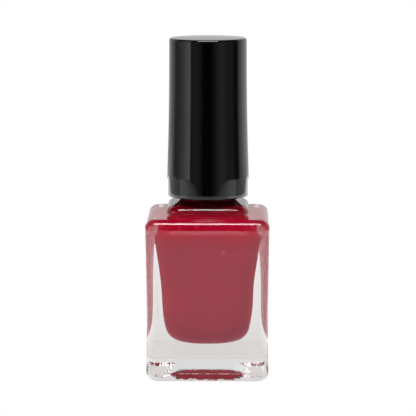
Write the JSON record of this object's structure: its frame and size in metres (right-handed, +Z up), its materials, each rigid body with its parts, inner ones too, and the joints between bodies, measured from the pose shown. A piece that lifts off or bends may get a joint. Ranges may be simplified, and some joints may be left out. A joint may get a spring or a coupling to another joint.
{
  "type": "nail polish bottle",
  "caption": "Square glass nail polish bottle with a stepped collar, red lacquer and a tall round screw cap that carries the brush.",
  "frame": {"origin": "centre of the glass bottle's base, on the plane the bottle stands on", "axes": "+Z up along the neck and cap, -Y out of the front face of the square body, +X to the right of that face"},
  "size_m": [0.027, 0.027, 0.0739],
  "materials": {
    "clear_glass": "polished clear flint glass",
    "red_lacquer": "wet glossy liquid lacquer",
    "steel_ball": "polished stainless steel",
    "black_cap": "high gloss black",
    "black_closure": "satin moulded polypropylene",
    "liner_foam": "matt polyethylene foam",
    "rod_plastic": "satin moulded polyethylene",
    "anchor_brass": "bare cut strip",
    "nylon_bristle": "satin nylon filament"
  },
  "bodies": {
    "bottle": {"glass_bottle": "clear_glass", "lacquer": "red_lacquer"},
    "liner": {"seal_liner": "liner_foam"},
    "brush": {"brush_rod": "rod_plastic", "bristle_anchor": "anchor_brass", "bristle_tuft": "nylon_bristle"},
    "cap": {"inner_cap": "black_closure", "outer_cap": "black_cap"},
    "ball_1": {"mixing_ball_1": "steel_ball"},
    "ball_2": {"mixing_ball_2": "steel_ball"}
  },
  "joints": [
    {"name": "lift_off", "type": "slide", "parent": "bottle", "child": "liner", "axis": [0, 0, 1], "range_m": [0, 0.048]},
    {"name": "thread_rise", "type": "slide", "parent": "liner", "child": "brush", "axis": [0, 0, 1], "range_m": [0, 0.00318]},
    {"name": "cap_turn", "type": "hinge", "parent": "brush", "child": "cap", "pos_m": [0, 0, 0.0446], "axis": [0, 0, 1], "range_deg": [0, 540]},
    {"name": "ball_1_rise", "type": "slide", "parent": "bottle", "child": "ball_1", "axis": [0, 0, 1], "range_m": [0, 0.015], "deforming": ["lacquer"]},
    {"name": "ball_2_rise", "type": "slide", "parent": "bottle", "child": "ball_2", "axis": [0, 0, 1], "range_m": [0, 0.015], "deforming": ["lacquer"]}
  ],
  "couplings": [
    {"joint": "thread_rise", "follows": "cap_turn", "m_per_rad": 0.00033688}
  ]
}
